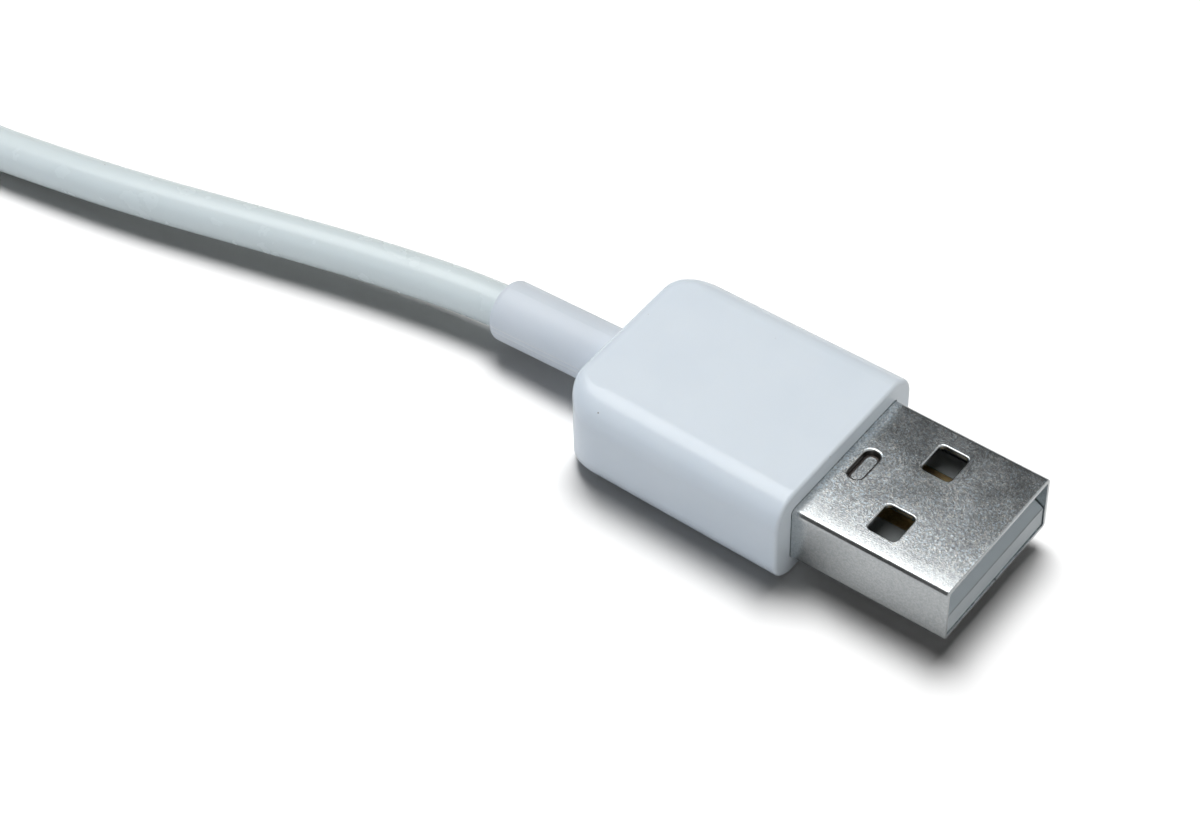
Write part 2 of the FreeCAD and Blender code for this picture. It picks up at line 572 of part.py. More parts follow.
def make_can():
    """Fold the inner shield behind the shell: two shallow trays that meet at mid height."""
    half = "dim.shell_width / 2"
    inside = "dim.shell_width / 2 - dim.can_sheet"
    length = f"{CAN_END} - dim.shell_tail - dim.can_gap"
    for name, floor, sign in (("shield_lower", UNDER, 1), ("shield_upper", OVER, -1)):
        body = new_body(name)
        rim = f"{MIDDLE} - {sign} * dim.can_gap / 2"
        step = f"{floor} + {sign} * dim.can_sheet"
        tray = new_sketch(body, "YZ_Plane", f"-{CAN_END}")
        straight_outline(tray, [
            (f"-{half}", rim), (f"-{half}", floor), (half, floor), (half, rim), (inside, rim),
            (inside, step), (f"-({inside})", step), (f"-({inside})", rim)])
        pull(body, "Pad", tray, length)
        wall = new_sketch(body, "YZ_Plane", f"-{CAN_END}")
        straight_outline(wall, [(f"-{half}", rim), (f"-{half}", floor), (half, floor), (half, rim)])
        pull(body, "Pad", wall, "dim.can_sheet")
        notch = new_sketch(body, "YZ_Plane", f"-{CAN_END} + 2 * dim.can_sheet")
        circle_outline(notch, "0", CORD_END_Z, "dim.can_mouth")
        pull(body, "Pocket", notch, "dim.can_sheet * 3")
        keep(body, name)


def make_wires():
    """Lead the four conductors and the drain wire from the jacket's end to where they end."""
    begin = size(f"{CORD_END_X} + dim.wire_gap")
    level = size(CORD_END_Z)
    thick = size("dim.wire_diameter")
    spread = size("dim.wire_spread")
    lead = size("dim.wire_lead")
    stop = size(f"{SHIFT} - dim.contact_tail + dim.wire_lap")
    seat = size(f"{TONGUE} + dim.wire_diameter / 2 + dim.wire_seat")
    for name, across, setback in contact_rows():
        side = math.copysign(1, size(across))
        height = level + spread if "data" not in name else level - spread
        tube(f"wire_{name}", [(begin, side * spread, height), (begin + lead, side * spread, height),
                              (stop - lead, size(across), seat), (stop, size(across), seat)], thick)
    drain = size("dim.drain_diameter")
    high = level - size("dim.drain_drop")
    low = size(f"{UNDER} + dim.can_sheet + dim.drain_diameter / 2 + dim.wire_seat")
    landing = begin + lead + size("dim.drain_fall")
    tube("drain_wire", [(begin, 0, high), (begin + lead, 0, high), (landing, 0, low),
                        (size(f"{SHIFT} - dim.drain_end"), 0, low)], drain)


def make_solder():
    """Set a mound of solder on each contact's tail, against the end of its conductor."""
    mounds = []
    for name, across, setback in contact_rows():
        mound = doc.addObject("Part::Wedge", f"solder_{name}")
        half_foot, half_crest = "dim.solder_foot / 2", "dim.solder_crest / 2"
        bounds = {"Xmin": "0", "Xmax": "dim.solder_length", "X2min": "0",
                  "X2max": "dim.solder_crest_length", "Ymin": "0",
                  "Ymax": "dim.wire_diameter + 2 * dim.wire_seat", "Zmin": f"-{half_foot}",
                  "Zmax": half_foot, "Z2min": f"-{half_crest}", "Z2max": half_crest}
        for side, text in bounds.items():
            mound.setExpression(side, text)
        mound.Placement = Placement(Vector(0, 0, 0), Rotation(Vector(1, 0, 0), 90))
        mound.setExpression("Placement.Base.x", f"{SHIFT} - dim.contact_tail + dim.solder_setback")
        mound.setExpression("Placement.Base.y", across)
        mound.setExpression("Placement.Base.z", TONGUE)
        mounds.append(mound)
    made = doc.addObject("Part::Compound", "solder_joints")
    made.Links = mounds
    keep(made, "solder_joints")


def make_sleeve():
    """Turn the A plug's sleeve with its collar, sloping down with the cord."""
    body = new_body("strain_relief", f"{SHIFT} - dim.housing_length", "0", SLEEVE_Z)
    body.Placement.Rotation = Rotation(Vector(0, -1, 0), 90)
    body.setExpression("Placement.Rotation.Angle", "90 + dim.sleeve_droop")
    profile = new_sketch(body, "XZ_Plane")
    bore = "dim.cord_diameter / 2 + dim.sleeve_gap"
    outer = "dim.sleeve_diameter / 2"
    inside = "-dim.rear_wall - dim.flange_gap"
    straight_outline(profile, [
        (bore, f"{inside} - dim.flange_thick"), ("dim.flange_diameter / 2", f"{inside} - dim.flange_thick"),
        ("dim.flange_diameter / 2", inside), (outer, inside), (outer, "dim.sleeve_length"),
        (bore, "dim.sleeve_length")])
    turned = body.newObject("PartDesign::Revolution", "strain_relief_turned")
    turned.Profile = profile
    turned.ReferenceAxis = (profile, ["V_Axis"])
    turned.Angle = 360
    doc.recompute()
    end = size("dim.sleeve_length")
    rim = size(outer)
    soften(body, turned, edges_where(turned.Shape, lambda edge: abs(edge.BoundBox.ZMin - end) < TINY
                                     and edge.BoundBox.XMax > rim - TINY), "dim.sleeve_round")
    keep(body, "strain_relief")


def make_cord():
    """Lay the cord: a lead from the sleeve to the coil, the coil, its ties and the far tail."""
    thick = size("dim.cord_diameter")
    start = Vector(size(CORD_END_X), 0, size(CORD_END_Z))
    droop = math.radians(size("dim.sleeve_droop"))
    reach = (start.x + 22.5) / math.cos(droop)
    first_bend = start + Vector(-math.cos(droop), 0, -math.sin(droop)) * reach
    lead = tube("cord_lead", [
        tuple(start), tuple(first_bend), (-31.0, -1.45, 2.30), (-40.0, -3.45, 1.90),
        (-49.0, -5.60, 1.65), (-57.0, -7.15, 1.56), (-62.2, -8.00, 1.56), (-66.8, -7.70, 1.58),
        (-71.0, -6.10, 1.65), (-74.7, -3.40, 1.80), (-77.4, 0.20, 2.00)], thick)

    radius = size("dim.tail_radius")
    centre = Vector(size("dim.coil_x"), size("dim.coil_y"), 0)
    heading = math.radians(size("dim.far_heading"))
    top = size(FAR_Z)
    rise = size("dim.tail_rise")
    leave = heading - math.pi / 2
    step = math.pi / 2 / MILD_STEPS
    spots = []
    for index in range(-1, MILD_STEPS):
        turn = leave - math.pi / 2 + (index + 0.5) * step
        share = (index + 0.5) / MILD_STEPS
        spots.append((turn, radius / math.cos(step / 2), top - rise * (1 - share) ** 2))
    route = [(centre.x + away * math.cos(turn), centre.y + away * math.sin(turn), height)
             for turn, away, height in spots]
    inside = size("dim.far_sleeve_inside")
    run = size(FAR_RUN) + inside
    foot = Vector(centre.x + radius * math.cos(leave), centre.y + radius * math.sin(leave), top)
    along = Vector(math.cos(heading), math.sin(heading), 0)
    route.append(tuple(foot + along * run))
    tail = tube("cord_tail", route, thick)

    wound = new_body("coil_wound", "dim.coil_x", "dim.coil_y")
    rings = new_sketch(wound, "XY_Plane", "dim.tie_thick")
    circle_outline(rings, "0", "0", COIL_OUT)
    circle_outline(rings, "0", "0", COIL_IN)
    raised = pull(wound, "Pad", rings, "dim.coil_layers * dim.coil_pitch")
    soften(wound, raised, edges_where(raised.Shape, lambda edge: edge.BoundBox.ZLength < TINY),
           "dim.coil_round")
    grooved = doc.addObject("Part::Cut", "coil_grooved")
    grooved.Base = wound
    grooved.Tool = tail
    coil = doc.addObject("Part::Cut", "cord_coil")
    coil.Base = grooved
    coil.Tool = lead
    keep(coil, "cord_coil")

    bands = []
    for name, turn in (("tie_a", "dim.tie_first"), ("tie_b", "dim.tie_second")):
        band = new_body(name, "dim.coil_x", "dim.coil_y")
        band.Placement.Rotation = Rotation(Vector(0, 0, 1), 1)
        band.setExpression("Placement.Rotation.Angle", turn)
        loop = new_sketch(band, "XZ_Plane")
        slack = f"{COIL_IN} - dim.tie_slack"
        outside = f"{COIL_OUT} + dim.tie_clear"
        round_outline(loop, f"{slack} - dim.tie_thick", f"{outside} + dim.tie_thick", "0",
                      f"{COIL_TOP} + dim.tie_thick", "dim.tie_bend + dim.tie_thick")
        round_outline(loop, slack, outside, "dim.tie_thick", COIL_TOP, "dim.tie_bend")
        pull(band, "Pad", loop, "dim.tie_width", both=True)
        bands.append(band)
    ties = doc.addObject("Part::Compound", "cord_ties")
    ties.Links = bands
    keep(ties, "cord_ties")


def make_far_housing():
    """Mould the far plug's housing and turn its sleeve."""
    body = far_body("c_plug_housing")
    half_w, half_h = "dim.far_width / 2", "dim.far_height / 2"
    section = new_sketch(body, "YZ_Plane")
    round_outline(section, f"-{half_w}", half_w, f"-{half_h}", half_h, "dim.far_corner")
    solid = pull(body, "Pad", section, "dim.far_length")
    rear = edges_where(solid.Shape, lambda edge: flat_in_x(edge, 0))
    rounded = soften(body, solid, rear[:1], "dim.far_rear_edge")
    face = size("dim.far_length")
    front = edges_where(rounded.Shape, lambda edge: flat_in_x(edge, face))
    soften(body, rounded, front[:1], "dim.far_front_edge")
    room = new_sketch(body, "YZ_Plane", "dim.far_end_wall")
    round_outline(room, f"-{half_w} + dim.far_wall", f"{half_w} - dim.far_wall",
                  f"-{half_h} + dim.far_wall", f"{half_h} - dim.far_wall",
                  "dim.far_corner - dim.far_wall")
    pull(body, "Pocket", room, "dim.far_length - 2 * dim.far_end_wall", back=True)
    mouth = new_sketch(body, "YZ_Plane", "dim.far_length + dim.overcut")
    wide = "(dim.far_shell_width / 2 + dim.far_clear)"
    tall = "(dim.far_shell_height / 2 + dim.far_clear)"
    round_outline(mouth, f"-{wide}", wide, f"-{tall}", tall, f"{tall} - dim.far_shell_flat")
    pull(body, "Pocket", mouth, "dim.far_end_wall + 2 * dim.overcut")
    bore = new_sketch(body, "YZ_Plane", "dim.far_end_wall + dim.overcut")
    circle_outline(bore, "0", "0", "dim.far_sleeve_diameter / 2 + dim.far_clear")
    pull(body, "Pocket", bore, "dim.far_end_wall + 2 * dim.overcut")
    keep(body, "c_plug_housing")

    sleeve = far_body("c_plug_sleeve")
    ring = new_sketch(sleeve, "YZ_Plane", "-dim.far_sleeve_length")
    circle_outline(ring, "0", "0", "dim.far_sleeve_diameter / 2")
    circle_outline(ring, "0", "0", "dim.cord_diameter / 2 + dim.sleeve_gap")
    made = pull(sleeve, "Pad", ring, "dim.far_sleeve_length + dim.far_sleeve_inside")
    start = -size("dim.far_sleeve_length")
    rim = size("dim.far_sleeve_diameter / 2")
    soften(sleeve, made, edges_where(made.Shape, lambda edge: flat_in_x(edge, start)
                                     and edge.BoundBox.YMax > rim - TINY), "dim.far_sleeve_round")
    keep(sleeve, "c_plug_sleeve")


def make_far_mouth():
    """Make the far plug's shell, insulator, contacts and latches."""
    shell = far_body("c_plug_shell")
    section = new_sketch(shell, "YZ_Plane", FAR_REAR)
    wide, tall = "dim.far_shell_width / 2", "dim.far_shell_height / 2"
    sheet_in = "dim.far_shell_sheet"
    round_outline(section, f"-{wide}", wide, f"-{tall}", tall, f"{tall} - dim.far_shell_flat")
    round_outline(section, f"-{wide} + {sheet_in}", f"{wide} - {sheet_in}", f"-{tall} + {sheet_in}",
                  f"{tall} - {sheet_in}", f"{tall} - {sheet_in} - dim.far_shell_flat")
    pull(shell, "Pad", section, f"{FAR_TIP} - {FAR_REAR}")
    keep(shell, "c_plug_shell")

    filling = far_body("c_plug_insulator")
    face = new_sketch(filling, "YZ_Plane", f"{FAR_REAR} + dim.far_clear")
    inset = "(dim.far_shell_sheet + dim.far_clear)"
    round_outline(face, f"-{wide} + {inset}", f"{wide} - {inset}", f"-{tall} + {inset}",
                  f"{tall} - {inset}", f"{tall} - {inset} - dim.far_shell_flat")
    straight_outline(face, [
        ("-dim.far_slot_width / 2", "-dim.far_slot_height / 2"),
        ("dim.far_slot_width / 2", "-dim.far_slot_height / 2"),
        ("dim.far_slot_width / 2", "dim.far_slot_height / 2"),
        ("-dim.far_slot_width / 2", "dim.far_slot_height / 2")])
    pull(filling, "Pad", face, f"{FAR_TIP} - {FAR_REAR} - dim.far_setback - dim.far_clear")
    keep(filling, "c_plug_insulator")

    nose = f"{FAR_TIP} - dim.far_setback - dim.far_contact_setback"
    tail = f"{FAR_REAR} - dim.far_contact_tail"
    rows = (("c_upper_contacts", 1, (-5.5, -2.5, -1.5, -0.5, 0.5, 2.5, 5.5)),
            ("c_lower_contacts", -1, (-5.5, -2.5, 2.5, 5.5)))
    for name, side, places in rows:
        strips = []
        for number, place in enumerate(places):
            strip = far_body(f"{name}_{number}")
            plan = new_sketch(strip, "XY_Plane", f"{side} * dim.far_slot_height / 2")
            low = f"{place} * dim.far_contact_pitch - dim.far_contact_width / 2"
            high = f"{place} * dim.far_contact_pitch + dim.far_contact_width / 2"
            straight_outline(plan, [(tail, low), (nose, low), (nose, high), (tail, high)])
            pull(strip, "Pad", plan, "dim.far_contact_sheet", back=side > 0)
            strips.append(strip)
        made = doc.addObject("Part::Compound", name)
        made.Links = strips
        keep(made, name)

    springs = []
    for name, side in (("latch_a", 1), ("latch_b", -1)):
        spring = far_body(name)
        plan = new_sketch(spring, "XY_Plane")
        outer = f"{side} * (dim.far_slot_width / 2)"
        inner = f"{side} * (dim.far_slot_width / 2 - dim.latch_thick)"
        nub = f"{side} * (dim.far_slot_width / 2 - dim.latch_thick - dim.latch_bump)"
        end = f"{FAR_TIP} - dim.far_setback - dim.far_contact_setback"
        straight_outline(plan, [
            (f"{end} - dim.latch_length", outer), (end, outer), (end, inner),
            (f"{end} - dim.latch_crest", nub), (f"{end} - dim.latch_foot", inner),
            (f"{end} - dim.latch_length", inner)])
        pull(spring, "Pad", plan, "dim.latch_height", both=True)
        springs.append(spring)
    made = doc.addObject("Part::Compound", "c_side_latches")
    made.Links = springs
    keep(made, "c_side_latches")


def make_far_card():
    """Make the far plug's circuit card, its resistor and the conductors soldered to it."""
    card = far_body("c_paddle_card")
    plan = new_sketch(card, "XY_Plane")
    neck = "dim.far_slot_width / 2 - dim.latch_thick - dim.far_clear"
    step = f"{FAR_REAR} - dim.card_shoulder"
    front = f"{FAR_REAR} + dim.card_in_shell"
    half = "dim.card_width / 2"
    straight_outline(plan, [
        ("dim.card_start", f"-{half}"), (step, f"-{half}"), (step, f"-({neck})"), (front, f"-({neck})"),
        (front, neck), (step, neck), (step, half), ("dim.card_start", half)])
    pull(card, "Pad", plan, "dim.card_thick", both=True)
    keep(card, "c_paddle_card")

    chip = far_body("c_id_resistor")
    spot = new_sketch(chip, "XY_Plane", "dim.card_thick / 2")
    middle = f"(dim.card_start + {FAR_REAR}) / 2 + dim.resistor_offset"
    straight_outline(spot, [
        (f"{middle} - dim.resistor_width / 2", "-dim.resistor_length / 2"),
        (f"{middle} + dim.resistor_width / 2", "-dim.resistor_length / 2"),
        (f"{middle} + dim.resistor_width / 2", "dim.resistor_length / 2"),
        (f"{middle} - dim.resistor_width / 2", "dim.resistor_length / 2")])
    pull(chip, "Pad", spot, "dim.resistor_height")
    keep(chip, "c_id_resistor")

    place = Placement(Vector(size(FAR_X), size(FAR_Y), size(FAR_Z)),
                      Rotation(Vector(0, 0, 1), size("dim.far_heading")))
    begin = size("dim.far_sleeve_inside + dim.wire_gap")
    lead = begin + size("dim.card_wire_lead")
    edge = size("dim.card_start")
    bend = edge - size("dim.card_wire_bend")
    lap = size("dim.card_wire_lap")
    spread = size("dim.wire_spread")
    wide = size("dim.card_wire_spread")
    seat = size("dim.card_thick / 2 + dim.wire_diameter / 2 + dim.wire_seat")
    names = (("power", 1, 1), ("data_minus", 1, -1), ("data_plus", -1, 1), ("ground", -1, -1))
    for name, across, up in names:
        points = [(begin, across * spread, up * spread), (lead, across * spread, up * spread),
                  (bend, across * wide, up * seat), (edge + lap, across * wide, up * seat)]
        tube(f"c_wire_{name}", [tuple(place.multVec(Vector(*point))) for point in points],
             size("dim.wire_diameter"))


def check_and_write():
    """Stop on any broken object, then write each node as a STEP file."""
    doc.recompute()
    for item in doc.Objects:
        if "Invalid" in item.State or "Error" in item.State:
            raise RuntimeError(f"{item.Label} failed: {item.State}")
    os.makedirs("parts", exist_ok=True)
    for item in NODES:
        shape = item.Shape
        if shape.isNull() or not shape.isValid():
            raise RuntimeError(f"{item.Label} has no valid shape")
        shape.exportStep(f"parts/{item.Label}.step")
        print(f"{item.Label}: {len(shape.Solids)} solid(s), {shape.Volume:.1f} mm3")


make_housing()
make_shell()
make_block()
make_contacts()
make_can()
make_wires()
make_solder()
make_sleeve()
make_cord()
make_far_housing()
make_far_mouth()
make_far_card()
check_and_write()
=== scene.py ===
"""Dress a white USB cable: finishes on its two plugs, the cord in its coil, ties, lamps and camera.

Everything is in metres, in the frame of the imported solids. The A plug points along +X and lies on
z = 0. The cord leaves its sleeve along -X, runs over the table and ends in a small tied coil with
the far plug on top of it.
"""
from __future__ import annotations

import logging
import math
from dataclasses import dataclass, field
from enum import Enum
from typing import Any, Iterable, Mapping, Sequence, Union

import bmesh
import bpy
from mathutils import Matrix, Vector

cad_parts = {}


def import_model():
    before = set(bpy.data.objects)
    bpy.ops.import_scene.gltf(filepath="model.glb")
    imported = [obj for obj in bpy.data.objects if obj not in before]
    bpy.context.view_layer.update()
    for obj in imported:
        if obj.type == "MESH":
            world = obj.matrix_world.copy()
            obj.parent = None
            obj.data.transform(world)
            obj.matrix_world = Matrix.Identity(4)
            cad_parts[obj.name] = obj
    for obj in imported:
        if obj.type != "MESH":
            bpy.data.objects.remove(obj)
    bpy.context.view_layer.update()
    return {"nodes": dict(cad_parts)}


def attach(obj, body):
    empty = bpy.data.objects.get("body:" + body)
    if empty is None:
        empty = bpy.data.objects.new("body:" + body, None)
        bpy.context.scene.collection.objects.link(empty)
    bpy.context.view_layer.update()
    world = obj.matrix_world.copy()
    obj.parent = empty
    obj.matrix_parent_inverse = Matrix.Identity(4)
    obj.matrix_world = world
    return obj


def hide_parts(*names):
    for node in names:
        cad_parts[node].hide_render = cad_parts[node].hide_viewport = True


LOG = logging.getLogger("usb_cable")
MM = 0.001
BODY = "root"

Colour = tuple[float, float, float]
Point = tuple[float, float, float]


class Shade:
    """A value in a node tree that takes part in Python expressions."""

    def __init__(self, bench: "Bench", socket: bpy.types.NodeSocket) -> None:
        """Keep the socket and the bench that its tree belongs to."""
        self.bench = bench
        self.socket = socket

    def _math(self, operation: str, first: "Value", second: "Value") -> "Shade":
        """Add a Math node.

        Args:
            operation: the Math node's operation.
            first: the first value.
            second: the second value.

        Returns:
            The node's result.
        """
        made = self.bench.node("ShaderNodeMath", {"operation": operation}, {0: first, 1: second})
        return self.bench.out(made)

    def __add__(self, other: "Value") -> "Shade":
        """Add two values."""
        return self._math("ADD", self, other)

    def __radd__(self, other: "Value") -> "Shade":
        """Add two values, the number first."""
        return self._math("ADD", other, self)

    def __sub__(self, other: "Value") -> "Shade":
        """Take the other value from this one."""
        return self._math("SUBTRACT", self, other)

    def __rsub__(self, other: "Value") -> "Shade":
        """Take this value from a number."""
        return self._math("SUBTRACT", other, self)

    def __mul__(self, other: "Value") -> "Shade":
        """Multiply two values."""
        return self._math("MULTIPLY", self, other)

    def __rmul__(self, other: "Value") -> "Shade":
        """Multiply two values, the number first."""
        return self._math("MULTIPLY", other, self)

    def __lt__(self, other: "Value") -> "Shade":
        """Give 1 where this value is the smaller one, and 0 elsewhere."""
        return self._math("LESS_THAN", self, other)

    def __gt__(self, other: "Value") -> "Shade":
        """Give 1 where this value is the larger one, and 0 elsewhere."""
        return self._math("GREATER_THAN", self, other)

    def __abs__(self) -> "Shade":
        """Give the value without its sign."""
        return self._math("ABSOLUTE", self, 0.0)

    def peak(self, other: "Value") -> "Shade":
        """Take the larger of two values."""
        return self._math("MAXIMUM", self, other)


Value = Union[Shade, float]


class Bench:
    """A node tree with one way to add a node."""

    def __init__(self, tree: bpy.types.NodeTree) -> None:
        """Clear the tree and keep it."""
        tree.nodes.clear()
        self.tree = tree

    def node(self, kind: str, settings: Mapping[str, Any] | None = None,
             inputs: Mapping[Any, Any] | None = None) -> bpy.types.Node:
        """Add a node.

        Args:
            kind: the node's type name.
            settings: its properties, set first.
            inputs: values or links of its sockets, by name or number.

        Returns:
            The new node.
        """
        made = self.tree.nodes.new(kind)
        for key, value in (settings or {}).items():
            setattr(made, key, value)
        for key, value in (inputs or {}).items():
            socket = made.inputs[key]
            if isinstance(value, Shade):
                self.tree.links.new(value.socket, socket)
            else:
                socket.default_value = value
        return made

    def out(self, made: bpy.types.Node, name: Any = 0) -> Shade:
        """Wrap one of a node's outputs."""
        return Shade(self, made.outputs[name])

    def place(self) -> Shade:
        """Give the point on the surface in the object's own coordinates."""
        return self.out(self.node("ShaderNodeTexCoord"), "Object")

    def axis(self, name: str) -> Shade:
        """Give one of the point's own coordinates: X, Y or Z."""
        return self.out(self.node("ShaderNodeSeparateXYZ", {}, {"Vector": self.place()}), name)

    def noise(self, scale: float, detail: float = 3.0) -> Shade:
        """Add a noise pattern.

        Args:
            scale: how many features go into a metre.
            detail: how many finer octaves it has.

        Returns:
            The pattern, about 0 to 1.
        """
        return self.out(self.node("ShaderNodeTexNoise", {}, {"Vector": self.place(), "Scale": scale,
                                                             "Detail": detail}))

    def cells(self, scale: float) -> tuple[Shade, Shade, Shade]:
        """Add a pattern of cells.

        Args:
            scale: how many cells go into a metre.

        Returns:
            The distance from a cell's middle, and two numbers drawn for each cell, 0 to 1.
        """
        made = self.node("ShaderNodeTexVoronoi", {}, {"Vector": self.place(), "Scale": scale})
        drawn = self.node("ShaderNodeSeparateColor", {}, {"Color": self.out(made, "Color")})
        return self.out(made, "Distance"), self.out(drawn, 0), self.out(drawn, 1)

    def span(self, value: Shade, low: float, high: float, start: float, stop: float) -> Shade:
        """Map a value smoothly from one range to another.

        Args:
            value: what is mapped.
            low: the value that gives start.
            high: the value that gives stop.
            start: the result at low and below.
            stop: the result at high and above.

        Returns:
            The mapped value.
        """
        made = self.node("ShaderNodeMapRange", {"interpolation_type": "SMOOTHSTEP"},
                         {"Value": value, "From Min": low, "From Max": high, "To Min": start,
                          "To Max": stop})
        return self.out(made)

    def sway(self, scale: float, low: float, high: float, spread: float = 0.2) -> Shade:
        """Let a value wander between two bounds.

        Args:
            scale: how many features go into a metre.
            low: the lower bound.
            high: the upper bound.
            spread: how far from its middle the noise is where a bound is reached.

        Returns:
            The wandering value.
        """
        return self.span(self.noise(scale), 0.5 - spread, 0.5 + spread, low, high)

    def blend(self, share: Value, first: Shade | Colour, second: Shade | Colour) -> Shade:
        """Mix two colours.

        Args:
            share: how much of the second colour there is.
            first: the colour at 0.
            second: the colour at 1.

        Returns:
            The mixed colour.
        """
        sockets = [value if isinstance(value, Shade) else (*value, 1.0) for value in (first, second)]
        made = self.node("ShaderNodeMix", {"data_type": "RGBA"},
                         {"Factor": share, 6: sockets[0], 7: sockets[1]})
        return self.out(made, 2)

    def bump(self, height: Shade, depth: float = 1.0) -> Shade:
        """Turn a height pattern into a normal.

        Args:
            height: the pattern.
            depth: how deep one unit of it is, in metres.

        Returns:
            The normal.
        """
        return self.out(self.node("ShaderNodeBump", {}, {"Height": height, "Distance": depth,
                                                         "Strength": 1.0}))

    def surface(self, inputs: Mapping[str, Any]) -> None:
        """Finish a material with a Principled shader that has these inputs."""
        shader = self.node("ShaderNodeBsdfPrincipled", {}, inputs)
        self.node("ShaderNodeOutputMaterial", {}, {"Surface": self.out(shader)})


def new_material(name: str) -> tuple[bpy.types.Material, Bench]:
    """Start a node material.

    Args:
        name: its name.

    Returns:
        The material and the bench for its nodes.
    """
    material = bpy.data.materials.new(name)
    material.use_nodes = True
    return material, Bench(material.node_tree)


@dataclass(frozen=True)
class PartingLine:
    """The pair of fine lines that a mould leaves along a sleeve whose axis falls along -X. Metres."""

    height: float
    fall: float
    apart: float = 0.0004
    width: float = 0.00007
    depth: float = 2.5e-5
    tone: float = 0.35

    def mask(self, bench: Bench) -> Shade:
        """Find the lines.

        Args:
            bench: the material's bench.

        Returns:
            1 on the two lines and 0 elsewhere.
        """
        above = bench.axis("Z") - bench.axis("X") * self.fall - self.height
        off = abs(abs(above) - self.apart / 2)
        return bench.span(off, self.width / 4, self.width, 1.0, 0.0)


@dataclass(frozen=True)
class MouldedPlastic:
    """A moulded plastic: slightly cloudy, with a fine skin and a few dark specks in it.

    painted_shade_inside is painted shade: how much darker the colour is made behind lit_from along
    X, where the shell keeps light out. painted_front_shade is painted shade too: how much darker
    the front end is made past front_shade_from. Both end softly, over dusk and front_shade_edge.
    Lengths are in metres, and scales in features per metre.
    """

    name: str
    colour: Colour
    cloud: Colour
    cloud_scale: float = 190.0
    cloud_spread: float = 0.15
    roughness: float = 0.32
    sheen_scale: float = 520.0
    sheen_play: float = 0.02
    skin_scale: float = 2600.0
    skin_depth: float = 1.2e-6
    speck_scale: float = 900.0
    speck_size: float = 0.08
    speck_share: float = 0.0
    # The speck colour is also the colour that painted shade darkens towards.
    speck_and_shade_colour: Colour = (0.30, 0.29, 0.27)
    glow: float = 0.0
    glow_radius: Colour = (0.0009, 0.0010, 0.0011)
    index: float = 1.5
    # Painted shade inside the shell, where little light reaches; lit_from and dusk place its edge.
    painted_shade_inside: float = 0.0
    lit_from: float = 0.0
    dusk: float = 0.001
    # Painted shade on the front end, which darkens it past a given X.
    painted_front_shade: float = 0.0
    front_shade_from: float = 0.0
    front_shade_edge: float = 0.0001
    parting: PartingLine | None = None

    def build(self) -> bpy.types.Material:
        """Make the material.

        Returns:
            The new material.
        """
        material, bench = new_material(self.name)
        cloud = bench.sway(self.cloud_scale, 0.0, 1.0, self.cloud_spread)
        colour = bench.blend(cloud, self.colour, self.cloud)
        if self.speck_share > 0.0:
            away, chance, width = bench.cells(self.speck_scale)
            speck = (away < width * self.speck_size) * (chance < self.speck_share)
            colour = bench.blend(speck, colour, self.speck_and_shade_colour)
        # Painted shade: the colour darkens towards the shade colour inside the shell and on the front
        # end.
        if self.painted_shade_inside > 0.0:
            depth = bench.span(bench.axis("X"), self.lit_from - self.dusk, self.lit_from,
                               self.painted_shade_inside, 0.0)
            front = bench.span(bench.axis("X"), self.front_shade_from - self.front_shade_edge,
                               self.front_shade_from, 0.0, self.painted_front_shade)
            colour = bench.blend(depth.peak(front), colour, self.speck_and_shade_colour)
        height = bench.noise(self.skin_scale, detail=2.0) * self.skin_depth
        if self.parting is not None:
            lines = self.parting.mask(bench)
            colour = bench.blend(lines * self.parting.tone, colour, (1.0, 1.0, 1.0))
            height = height + lines * self.parting.depth
        rough = bench.sway(self.sheen_scale, self.roughness - self.sheen_play,
                           self.roughness + self.sheen_play)
        bench.surface({"Base Color": colour, "Roughness": rough, "Normal": bench.bump(height),
                       "IOR": self.index, "Subsurface Weight": self.glow,
                       "Subsurface Radius": self.glow_radius, "Subsurface Scale": 1.0})
        return material


@dataclass(frozen=True)
class DimpleOutline:
    """The dark outline on the wall of a pressed dimple. Metres.

    The dimple is a slot across the plug, half_spine long to each side of its middle. The ring gives
    how far from that spine the dark outline starts, is full, fades and stops. It is only above a
    height, and fades over soft below that.
    """

    x: float
    y: float
    half_spine: float
    ring: tuple[float, float, float, float]
    above: float
    soft: float = 0.0002
    colour: Colour = (0.075, 0.062, 0.055)
    share: float = 0.94

    def mask(self, bench: Bench) -> Shade:
        """Find the dark outline.

        Args:
            bench: the material's bench.

        Returns:
            The share of dark outline, which is 0 away from the dimple's wall.
        """
        along = bench.axis("X") - self.x
        past = (abs(bench.axis("Y") - self.y) - self.half_spine).peak(0.0)
        away = along * along + past * past
        start, full, fade, stop = (reach * reach for reach in self.ring)
        wall = bench.span(away, start, full, 0.0, self.share) * bench.span(away, fade, stop, 1.0, 0.0)
        return wall * bench.span(bench.axis("Z"), self.above - self.soft, self.above, 0.0, 1.0)


